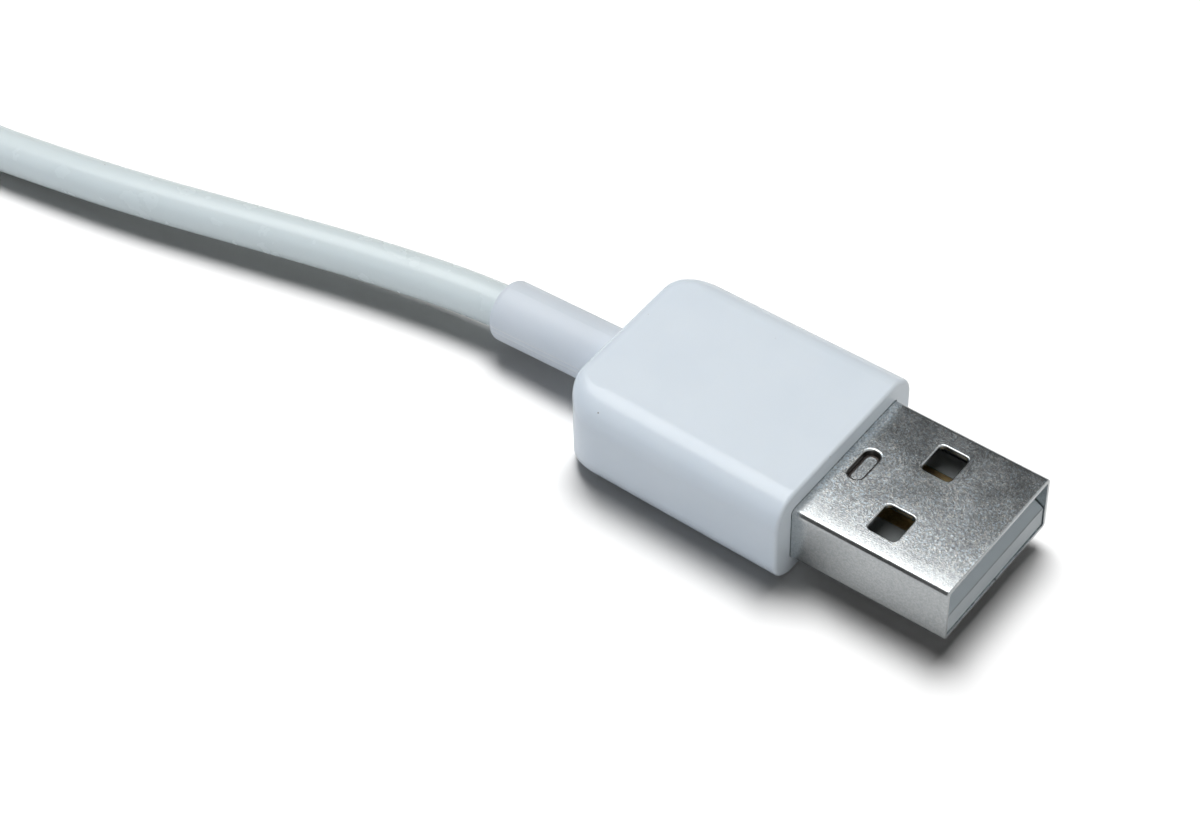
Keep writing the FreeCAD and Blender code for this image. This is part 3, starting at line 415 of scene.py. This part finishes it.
@dataclass(frozen=True)
class PlatedSheet:
    """A plated sheet metal with the fine grain of its rolling.

    The grain is full where the sheet faces up, between the two values of facing, and falls to
    side_grain on the sides and in painted_highlight_band, between two places along Y on the near
    side. Smooth places are warmer and more worn; in that band this tone and the faded grain are a
    painted highlight. A folded sheet bows a little across its width: crown is how strongly, per
    metre, about a crest, and drawn is how strongly it bends down past shoulder, the distance from
    the middle where the fold is felt.
    """

    name: str
    colour: Colour
    worn: Colour
    warm: Colour
    roughness: float = 0.23
    sheen_scale: float = 420.0
    sheen_play: tuple[float, float] = (-0.02, 0.03)
    grain_scale: float = 8000.0
    grain_depth: float = 2.0e-6
    facing: tuple[float, float] = (0.85, 0.97)
    side_grain: float = 0.25
    smooth_warmth: float = 0.3
    smooth_wear: float = 0.22
    crown: float = 0.0
    crest: float = 0.0
    drawn: float = 0.0
    shoulder: float = 0.0
    # Painted highlight: a band on the near side where the grain fades and the tone goes warmer and
    # darker.
    painted_highlight_band: tuple[float, float] = (0.0, 0.0)
    dimple_outline: DimpleOutline | None = None

    def build(self) -> bpy.types.Material:
        """Make the material.

        Returns:
            The new material.
        """
        material, bench = new_material(self.name)
        away, wear, warmth = bench.cells(self.grain_scale)
        flat = self._flat(bench)
        smooth = 1.0 - flat
        tint = bench.blend((warmth - 0.5) * flat + smooth * self.smooth_warmth + 0.5,
                           self.colour, self.warm)
        colour = bench.blend((wear - 0.5) * flat + smooth * self.smooth_wear + 0.5, tint, self.worn)
        rough = bench.sway(self.sheen_scale, self.roughness + self.sheen_play[0],
                           self.roughness + self.sheen_play[1])
        height = away * self.grain_depth
        if self.crown > 0.0:
            past = (abs(bench.axis("Y")) - self.shoulder).peak(0.0)
            off = bench.axis("Y") - self.crest
            height = height - off * off * self.crown - past * past * self.drawn
        if self.dimple_outline is not None:
            colour = bench.blend(self.dimple_outline.mask(bench), colour, self.dimple_outline.colour)
        bench.surface({"Base Color": colour, "Metallic": 1.0, "Roughness": rough,
                       "Normal": bench.bump(height)})
        return material

    def _flat(self, bench: Bench) -> Shade:
        """Say how much of the grain shows.

        Args:
            bench: the material's bench.

        Returns:
            1 where it is full, down to side_grain.
        """
        normal = bench.out(bench.node("ShaderNodeNewGeometry"), "Normal")
        upward = bench.out(bench.node("ShaderNodeSeparateXYZ", {}, {"Vector": normal}), "Z")
        flat = bench.span(upward, *self.facing, 0.0, 1.0)
        # Painted highlight: the band on the near side loses its grain and turns warmer and darker.
        if self.painted_highlight_band[1] > self.painted_highlight_band[0]:
            flat = flat * bench.span(bench.axis("Y"), *self.painted_highlight_band, 0.0, 1.0)
        return flat * (1.0 - self.side_grain) + self.side_grain


@dataclass(frozen=True)
class Laminate:
    """A glass-fibre card under green lacquer, with the weave just showing."""

    name: str
    colour: Colour
    thread: Colour
    thread_scale: float = 900.0
    thread_share: float = 0.4
    thread_depth: float = 4.0e-6
    roughness: tuple[float, float] = (0.30, 0.42)

    def build(self) -> bpy.types.Material:
        """Make the material.

        Returns:
            The new material.
        """
        material, bench = new_material(self.name)
        threads = [bench.out(bench.node("ShaderNodeTexWave", {"bands_direction": axis},
                                        {"Vector": bench.place(), "Scale": self.thread_scale}))
                   for axis in ("X", "Y")]
        weave = threads[0].peak(threads[1])
        bench.surface({"Base Color": bench.blend(weave * self.thread_share, self.colour, self.thread),
                       "Roughness": bench.span(weave, 0.0, 1.0, *self.roughness),
                       "Normal": bench.bump(weave, self.thread_depth)})
        return material


@dataclass(frozen=True)
class NappedStrap:
    """A soft strap: short nap over a woven ground."""

    name: str
    colour: Colour
    shadow: Colour
    rib_scale: float = 1300.0
    rib_waver: float = 0.5
    rib_share: float = 0.45
    nap_scale: float = 5200.0
    pile: float = 6.0e-5
    roughness: tuple[float, float] = (0.72, 0.90)
    sheen: float = 0.35
    sheen_roughness: float = 0.5

    def build(self) -> bpy.types.Material:
        """Make the material.

        Returns:
            The new material.
        """
        material, bench = new_material(self.name)
        ribs = bench.out(bench.node("ShaderNodeTexWave", {"bands_direction": "DIAGONAL"},
                                    {"Vector": bench.place(), "Scale": self.rib_scale,
                                     "Distortion": self.rib_waver, "Detail": 2.0}))
        depth = ribs * self.rib_share + bench.noise(self.nap_scale) * (1.0 - self.rib_share)
        bench.surface({"Base Color": bench.blend(depth, self.shadow, self.colour),
                       "Roughness": bench.sway(self.nap_scale, *self.roughness),
                       "Normal": bench.bump(depth, self.pile), "Sheen Weight": self.sheen,
                       "Sheen Roughness": self.sheen_roughness})
        return material


class Slot(Enum):
    """The record's material slots."""

    HOUSING = "housing_white"
    SLEEVE = "sleeve_white"
    CORD = "cord_white"
    NICKEL = "nickel_sheet"
    PALE = "insulator_pale"
    BLACK = "insulator_black"
    GOLD = "contact_gold"
    TINNED = "tinned"
    RED_WIRE = "wire_red"
    WHITE_WIRE = "wire_white"
    GREEN_WIRE = "wire_green"
    BLACK_WIRE = "wire_black"
    CARD = "card_green"
    CHIP = "chip_black"
    TIE = "tie_white"


FINISHES = {
    Slot.HOUSING: MouldedPlastic("housing_white", (0.790, 0.862, 0.922), (0.772, 0.846, 0.910),
                                 roughness=0.24, speck_share=0.35, glow=0.12),
    Slot.SLEEVE: MouldedPlastic("sleeve_white", (0.735, 0.790, 0.845), (0.715, 0.772, 0.830),
                                roughness=0.42, skin_depth=2.0e-6, glow=0.12,
                                parting=PartingLine(0.0039475, 0.0507)),
    Slot.CORD: MouldedPlastic("cord_white", (0.755, 0.835, 0.842), (0.745, 0.826, 0.834),
                              roughness=0.27, sheen_play=0.005, skin_depth=0.8e-6, speck_share=0.15,
                              glow=0.08),
    # The nickel's near side carries a painted highlight band.
    Slot.NICKEL: PlatedSheet("nickel_sheet", (0.710, 0.815, 0.890), (0.380, 0.405, 0.420),
                             (0.870, 0.860, 0.820), grain_scale=10000.0, crown=3.3, crest=-0.0020,
                             side_grain=0.3, drawn=9.0, shoulder=0.0046, painted_highlight_band=(-0.0054, -0.0030),
                             dimple_outline=DimpleOutline(0.00950, -0.00006, 0.000825,
                                               (0.00034, 0.00042, 0.00062, 0.00070), 0.0054)),
    # The pale insulator carries painted shade inside the shell and on its front end.
    Slot.PALE: MouldedPlastic("insulator_pale", (0.760, 0.850, 0.900), (0.735, 0.825, 0.875),
                              roughness=0.38, speck_and_shade_colour=(0.115, 0.110, 0.098), painted_shade_inside=0.75,
                              lit_from=0.0180, painted_front_shade=0.42, front_shade_from=0.01963),
    Slot.BLACK: MouldedPlastic("insulator_black", (0.030, 0.030, 0.034), (0.042, 0.042, 0.046),
                               roughness=0.45),
    Slot.GOLD: PlatedSheet("contact_gold", (0.86, 0.67, 0.37), (0.72, 0.53, 0.26),
                           (0.84, 0.64, 0.32), roughness=0.32),
    Slot.TINNED: PlatedSheet("tinned", (0.72, 0.72, 0.71), (0.58, 0.58, 0.57), (0.74, 0.72, 0.69),
                             roughness=0.38),
    Slot.RED_WIRE: MouldedPlastic("wire_red", (0.55, 0.030, 0.025), (0.48, 0.025, 0.020)),
    Slot.WHITE_WIRE: MouldedPlastic("wire_white", (0.80, 0.80, 0.77), (0.76, 0.76, 0.73)),
    Slot.GREEN_WIRE: MouldedPlastic("wire_green", (0.030, 0.30, 0.085), (0.025, 0.26, 0.070)),
    Slot.BLACK_WIRE: MouldedPlastic("wire_black", (0.022, 0.022, 0.024), (0.030, 0.030, 0.032)),
    Slot.CARD: Laminate("card_green", (0.020, 0.170, 0.070), (0.050, 0.260, 0.110)),
    Slot.CHIP: MouldedPlastic("chip_black", (0.028, 0.028, 0.030), (0.040, 0.040, 0.042)),
    Slot.TIE: NappedStrap("tie_white", (0.78, 0.80, 0.82), (0.58, 0.60, 0.63)),
}


class Paints:
    """Makes each finish once and hands it out."""

    def __init__(self) -> None:
        """Start with no material made."""
        self._made: dict[Slot, bpy.types.Material] = {}

    def __getitem__(self, slot: Slot) -> bpy.types.Material:
        """Hand out a material, and make it the first time.

        Args:
            slot: the slot that it fills.

        Returns:
            The slot's material.
        """
        if slot not in self._made:
            self._made[slot] = FINISHES[slot].build()
        return self._made[slot]


def coat(piece: bpy.types.Object, material: bpy.types.Material) -> None:
    """Give a piece one material all over.

    Args:
        piece: a mesh or curve object.
        material: what it is made of.
    """
    piece.data.materials.clear()
    piece.data.materials.append(material)


@dataclass
class SolidGroup:
    """CAD nodes that are shown as they are, each with its finish."""

    title: str
    finishes: dict[str, Slot]

    def dress(self, nodes: Mapping[str, bpy.types.Object], paints: Paints) -> None:
        """Give each node of the group its finish.

        Args:
            nodes: the frame's nodes by name.
            paints: where the materials come from.
        """
        for name, slot in self.finishes.items():
            coat(nodes[name], paints[slot])
            LOG.info("%s: %s in %s", self.title, name, slot.value)


A_PLUG = SolidGroup("A plug", {
    "plug_housing": Slot.HOUSING, "usb_shell": Slot.NICKEL, "contact_block": Slot.PALE,
    "contact_power": Slot.GOLD, "contact_data_minus": Slot.GOLD, "contact_data_plus": Slot.GOLD,
    "contact_ground": Slot.GOLD, "shield_lower": Slot.TINNED, "shield_upper": Slot.TINNED,
    "wire_power": Slot.RED_WIRE, "wire_data_minus": Slot.WHITE_WIRE,
    "wire_data_plus": Slot.GREEN_WIRE, "wire_ground": Slot.BLACK_WIRE, "drain_wire": Slot.TINNED,
    "solder_joints": Slot.TINNED, "strain_relief": Slot.SLEEVE})

FAR_PLUG = SolidGroup("far plug", {
    "c_plug_housing": Slot.HOUSING, "c_plug_sleeve": Slot.SLEEVE, "c_plug_shell": Slot.NICKEL,
    "c_plug_insulator": Slot.BLACK, "c_upper_contacts": Slot.GOLD, "c_lower_contacts": Slot.GOLD,
    "c_side_latches": Slot.TINNED, "c_paddle_card": Slot.CARD, "c_id_resistor": Slot.CHIP,
    "c_wire_power": Slot.RED_WIRE, "c_wire_data_minus": Slot.WHITE_WIRE,
    "c_wire_data_plus": Slot.GREEN_WIRE, "c_wire_ground": Slot.BLACK_WIRE})


@dataclass
class Coil:
    """The put-away length: turns that spiral in, out and in again on three levels. Millimetres."""

    x: float = -92.0
    y: float = -14.0
    outer: float = 20.2
    inner: float = 10.8
    low: float = 2.075
    level: float = 3.15
    layer_turns: float = 3.0
    climb_turns: float = 0.25
    last_level_turns: float = 1.25
    turns: float = 8.25
    start: float = 45.0
    points_per_turn: int = 12
    top: float = 13.05
    last_bend: float = 2.6

    def reach(self, turn: float) -> tuple[float, float]:
        """Say how far out and how high the cord is.

        Args:
            turn: how many turns it has made.

        Returns:
            The distance from the coil's axis and the height.
        """
        step = (self.outer - self.inner) / self.layer_turns
        cycle = self.layer_turns + self.climb_turns
        layer = int(turn // cycle)
        wound = min(turn - layer * cycle, self.layer_turns)
        climbed = max(turn - layer * cycle - self.layer_turns, 0.0) / self.climb_turns
        inward = layer % 2 == 0
        away = self.outer - step * wound if inward else self.inner + step * wound
        return away, self.low + self.level * (layer + climbed) + self._rise(turn, 2 * cycle)

    def _rise(self, turn: float, last_layer: float) -> float:
        """Say how far the last half turn has risen towards the far plug.

        Args:
            turn: how many turns the cord has made.
            last_layer: the turn at which the last level starts.

        Returns:
            The height above the last level.
        """
        share = (turn - last_layer - self.last_level_turns) / self.climb_turns
        if share <= 0.0:
            return 0.0
        full = self.top - self.low - 2 * self.level
        knee = full - self.last_bend
        if share <= 1.0:
            return knee * share ** 2
        return full - self.last_bend * (2.0 - share) ** 2

    def points(self) -> list[Point]:
        """Work out the turns.

        Returns:
            Their control points, from the lead to the tail.
        """
        step = 360.0 / self.points_per_turn
        bulge = math.cos(math.pi / self.points_per_turn)
        count = round(self.turns * self.points_per_turn)
        spots = []
        for index in range(count):
            turned = (index + 0.5) / self.points_per_turn
            angle = math.radians(self.start + step * (index + 0.5))
            away, height = self.reach(turned)
            spots.append((self.x + away / bulge * math.cos(angle),
                          self.y + away / bulge * math.sin(angle), height))
        return spots


@dataclass
class Cord:
    """The cable's jacket from the A plug to the far plug. Route points are in millimetres."""

    diameter: float = 3.1
    length: float = 0.91
    sides: int = 32
    steps: int = 12
    lead: tuple[Point, ...] = (
        (-7.01, 0.0, 3.592), (-14.4, 0.0, 3.217), (-21.8, -0.05, 2.845), (-30.85, -1.65, 2.57),
        (-39.7, -3.84, 2.43), (-48.65, -6.06, 2.27), (-56.75, -7.48, 2.01), (-62.05, -8.20, 1.83),
        (-66.75, -7.78, 1.69), (-71.0, -6.10, 1.66), (-74.7, -3.40, 1.80))
    coil: Coil = field(default_factory=Coil)
    tail: tuple[Point, ...] = ((-105.15, -6.42, 13.05), (-108.73, -9.998, 13.05))

    def build(self) -> bpy.types.Object:
        """Lay the jacket as one smooth round curve.

        Returns:
            The curve object.
        """
        route = [*self.lead, *self.coil.points(), *self.tail]
        data = bpy.data.curves.new("cord_jacket", "CURVE")
        data.dimensions = "3D"
        data.resolution_u = self.steps
        data.bevel_depth = self.diameter / 2 * MM
        data.bevel_resolution = (self.sides - 4) // 2
        data.use_fill_caps = True
        spline = data.splines.new("NURBS")
        spline.points.add(len(route) - 1)
        for control, spot in zip(spline.points, route):
            control.co = (*(value * MM for value in spot), 1.0)
        spline.order_u = 3
        spline.use_endpoint_u = True
        spline.use_smooth = True
        jacket = bpy.data.objects.new("cord_jacket", data)
        bpy.context.scene.collection.objects.link(jacket)
        return jacket

    def place(self, jacket: bpy.types.Object, on_it: Sequence[bpy.types.Object]) -> None:
        """Args:
            jacket: the curve object.
            on_it: the pieces that the cord carries; not used.
        """
        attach(jacket, BODY)
        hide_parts("cord_lead", "cord_coil", "cord_tail")
        start = tuple(value * MM for value in self.lead[0])
        LOG.info("cord: %d control points", len(jacket.data.splines[0].points))


@dataclass
class CoilTies:
    """Two soft straps round the coil. Millimetres; inside and outside are distances from its axis."""

    coil: Coil = field(default_factory=Coil)
    inside: float = 8.3
    outside: float = 22.32
    top: float = 10.45
    thick: float = 0.5
    width: float = 5.0
    bend: float = 1.8
    steps: int = 6
    edge: float = 0.14
    edge_steps: int = 3
    crease: float = 60.0
    angles: tuple[float, ...] = (240.0, 330.0)

    def build(self) -> bpy.types.Object:
        """Fold both straps.

        Returns:
            One mesh object with both of them.
        """
        mesh = bpy.data.meshes.new("tie_straps")
        work = bmesh.new()
        for angle in self.angles:
            strap = self._fold(angle)
            work.from_mesh(strap)
            bpy.data.meshes.remove(strap)
        work.to_mesh(mesh)
        work.free()
        straps = bpy.data.objects.new("tie_straps", mesh)
        bpy.context.scene.collection.objects.link(straps)
        return straps

    def _fold(self, angle: float) -> bpy.types.Mesh:
        """Make one strap: a rounded frame, drawn out to the strap's width.

        Args:
            angle: where it sits round the coil, in degrees.

        Returns:
            Its mesh, in metres.
        """
        work = bmesh.new()
        grid = bmesh.ops.create_grid(work, x_segments=1, y_segments=1, size=0.5)["verts"]
        bmesh.ops.scale(work, vec=(self.outside - self.inside, self.top, 1.0), verts=grid)
        bmesh.ops.bevel(work, geom=grid, offset=self.bend, affect="VERTICES", segments=self.steps,
                        profile=0.5, material=-1)
        opening = list(work.faces)
        bmesh.ops.inset_region(work, faces=opening, thickness=self.thick, use_boundary=True,
                               use_even_offset=True)
        bmesh.ops.delete(work, geom=opening, context="FACES_ONLY")
        drawn = bmesh.ops.extrude_face_region(work, geom=list(work.faces))["geom"]
        moved = [item for item in drawn if isinstance(item, bmesh.types.BMVert)]
        bmesh.ops.translate(work, vec=(0.0, 0.0, self.width), verts=moved)
        bmesh.ops.recalc_face_normals(work, faces=work.faces)
        sharp = [edge for edge in work.edges
                 if len(edge.link_faces) == 2
                 and edge.calc_face_angle() > math.radians(self.crease)]
        bmesh.ops.bevel(work, geom=sharp, offset=self.edge, affect="EDGES",
                        segments=self.edge_steps, profile=0.5, material=-1)
        for face in work.faces:
            face.smooth = True
        middle = Matrix.Translation(((self.inside + self.outside) / 2, self.top / 2, -self.width / 2))
        upright = Matrix.Rotation(math.radians(90.0), 4, "X")
        turned = Matrix.Rotation(math.radians(angle), 4, "Z")
        seat = Matrix.Scale(MM, 4) @ Matrix.Translation((self.coil.x, self.coil.y, 0.0))
        bmesh.ops.transform(work, matrix=seat @ turned @ upright @ middle, verts=work.verts)
        strap = bpy.data.meshes.new("strap")
        work.to_mesh(strap)
        work.free()
        return strap

    def place(self, straps: bpy.types.Object) -> None:
        """Tie the straps to the frame in place of their CAD node.

        Args:
            straps: the mesh object.
        """
        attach(straps, BODY)
        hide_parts("cord_ties")
        LOG.info("ties: %d faces", len(straps.data.polygons))


class Lit(Enum):
    """What a lamp lights: the cable, or the table under it."""

    CABLE = "EXCLUDE"
    TABLE = "INCLUDE"


@dataclass(frozen=True)
class Lamp:
    """A soft rectangular lamp. Place and aim are in metres."""

    name: str
    place: Point
    aim: Point
    size: tuple[float, float]
    power: float
    colour: Colour = (1.0, 1.0, 1.0)
    lit: Lit = Lit.CABLE
    glossy: bool = True

    def build(self, table: bpy.types.Object) -> bpy.types.Object:
        """Hang the lamp and link it to what it lights.

        Args:
            table: the table top.

        Returns:
            The lamp object.
        """
        data = bpy.data.lights.new(self.name, "AREA")
        data.shape = "RECTANGLE"
        data.size, data.size_y = self.size
        data.energy = self.power
        data.color = self.colour
        lamp = bpy.data.objects.new(self.name, data)
        lamp.location = self.place
        lamp.rotation_euler = (Vector(self.aim) - Vector(self.place)).to_track_quat("-Z", "Y").to_euler()
        lamp.visible_glossy = self.glossy
        bpy.context.scene.collection.objects.link(lamp)
        group = bpy.data.collections.new(f"{self.name}_receivers")
        group.objects.link(table)
        lamp.light_linking.receiver_collection = group
        group.collection_objects[0].light_linking.link_state = self.lit.value
        return lamp


@dataclass
class Studio:
    """Camera, table top, backdrop and lamps. Metres.

    The table has one colour for the light that it throws back and a paler one for the camera. Away
    from table_middle it turns white, between the two distances of table_fade. Glossy surfaces see a
    sky that goes from sky_dark to sky_light towards one side.
    """

    eye: Point = (0.087608, -0.129629, 0.172876)
    right: Point = (0.80142665, 0.59796453, -0.01239961)
    up: Point = (-0.43136704, 0.59225531, 0.68055575)
    back: Point = (0.41429193, -0.54006673, 0.73259138)
    lens: float = 105.0
    sensor: float = 36.0
    near_clip: float = 0.01
    table_half: float = 3.0
    table_drop: float = 0.00004
    table_colour: Colour = (0.45, 0.45, 0.45)
    table_white: Colour = (0.65, 0.65, 0.65)
    table_lift: float = 0.02
    table_middle: tuple[float, float] = (-0.052, -0.014)
    table_fade: tuple[float, float] = (0.09, 0.20)
    ambient: float = 0.05
    sky_dark: float = 0.03
    sky_light: float = 0.75
    sky_toward: tuple[float, float] = (0.990, -0.141)
    sky_span: tuple[float, float] = (-0.2, 0.3)
    lamps: tuple[Lamp, ...] = (
        Lamp("table_lamp", (-0.102, 0.137, 0.470), (0.0, 0.0, 0.0), (0.27, 0.27), 4.8,
             lit=Lit.TABLE),
        Lamp("overhead_softbox", (-0.08, 0.030, 0.26), (-0.08, 0.030, 0.0), (0.25, 0.25), 0.68),
        Lamp("left_fill", (-0.26, -0.38, 0.20), (0.0, 0.0, 0.0), (0.36, 0.30), 0.36,
             colour=(0.90, 1.05, 1.30), glossy=False),
        Lamp("front_card", (0.25, -0.03, 0.13), (0.02, 0.0, 0.004), (0.30, 0.10), 0.15,
             glossy=False),
    )

    def build(self) -> None:
        """Set up the whole studio."""
        scene = bpy.context.scene
        scene.view_settings.view_transform = "Standard"
        self._camera(scene)
        table = self._table()
        self._world(scene)
        for lamp in self.lamps:
            lamp.build(table)
            LOG.info("studio: %s", lamp.name)

    def _camera(self, scene: bpy.types.Scene) -> None:
        """Stand the camera where the picture was taken from.

        Args:
            scene: the scene that it films.
        """
        data = bpy.data.cameras.new("camera")
        data.lens = self.lens
        data.sensor_fit = "HORIZONTAL"
        data.sensor_width = self.sensor
        data.clip_start = self.near_clip
        camera = bpy.data.objects.new("camera", data)
        turned = Matrix((self.right, self.up, self.back)).transposed()
        camera.matrix_world = Matrix.Translation(Vector(self.eye)) @ turned.to_4x4()
        scene.collection.objects.link(camera)
        scene.camera = camera

    @staticmethod
    def _shown(bench: Bench) -> Shade:
        """Pick the rays that see the table's own glow.

        Args:
            bench: the table material's bench.

        Returns:
            1 on camera, glossy and transmission rays, and 0 on others.
        """
        path = bench.node("ShaderNodeLightPath")
        return bench.out(path, "Is Camera Ray").peak(bench.out(path, "Is Glossy Ray")).peak(
            bench.out(path, "Is Transmission Ray"))

    def _table(self) -> bpy.types.Object:
        """Lay the pale table top.

        Returns:
            The table object.
        """
        mesh = bpy.data.meshes.new("table")
        work = bmesh.new()
        bmesh.ops.create_grid(work, x_segments=1, y_segments=1, size=self.table_half)
        bmesh.ops.translate(work, vec=(0.0, 0.0, -self.table_drop), verts=work.verts)
        work.to_mesh(mesh)
        work.free()
        table = bpy.data.objects.new("table", mesh)
        bpy.context.scene.collection.objects.link(table)
        material, bench = new_material("table_white")
        path = bench.node("ShaderNodeLightPath")
        seen = bench.out(path, "Is Camera Ray")
        colour = bench.blend(seen, self.table_colour, self.table_white)
        matt = bench.node("ShaderNodeBsdfDiffuse", {}, {"Color": colour})
        across = bench.axis("X") - self.table_middle[0]
        along = bench.axis("Y") - self.table_middle[1]
        start, stop = (distance ** 2 for distance in self.table_fade)
        far = bench.span(across * across + along * along, start, stop, 0.0, 1.0)
        glow = self._shown(bench) * self.table_lift + seen * far
        lift = bench.node("ShaderNodeEmission", {}, {"Strength": glow})
        both = bench.node("ShaderNodeAddShader", {}, {0: bench.out(matt), 1: bench.out(lift)})
        bench.node("ShaderNodeOutputMaterial", {}, {"Surface": bench.out(both)})
        coat(table, material)
        return table

    def _world(self, scene: bpy.types.Scene) -> None:
        """Surround the table with a white backdrop that adds only a little light.

        Args:
            scene: the scene that gets it.
        """
        world = bpy.data.worlds.new("studio")
        world.use_nodes = True
        scene.world = world
        bench = Bench(world.node_tree)
        path = bench.node("ShaderNodeLightPath")
        seen = bench.out(path, "Is Camera Ray").peak(bench.out(path, "Is Transmission Ray"))
        glossy = bench.out(path, "Is Glossy Ray")
        toward = bench.axis("X") * self.sky_toward[0] + bench.axis("Y") * self.sky_toward[1]
        sheen = bench.span(toward, *self.sky_span, self.sky_dark, self.sky_light)
        strength = seen + (1.0 - seen) * (self.ambient + glossy * sheen)
        sky = bench.node("ShaderNodeBackground", {}, {"Strength": strength})
        bench.node("ShaderNodeOutputWorld", {}, {"Surface": bench.out(sky)})


def main() -> None:
    """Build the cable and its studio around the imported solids."""
    logging.basicConfig(level=logging.INFO, format="%(name)s: %(message)s")
    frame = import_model()
    nodes = frame["nodes"]
    paints = Paints()

    A_PLUG.dress(nodes, paints)
    FAR_PLUG.dress(nodes, paints)

    ties = CoilTies()
    straps = ties.build()
    coat(straps, paints[Slot.TIE])
    ties.place(straps)

    cord = Cord()
    jacket = cord.build()
    coat(jacket, paints[Slot.CORD])
    cord.place(jacket, [*(nodes[name] for name in FAR_PLUG.finishes), straps])

    Studio().build()


if __name__ == "__main__":
    main()
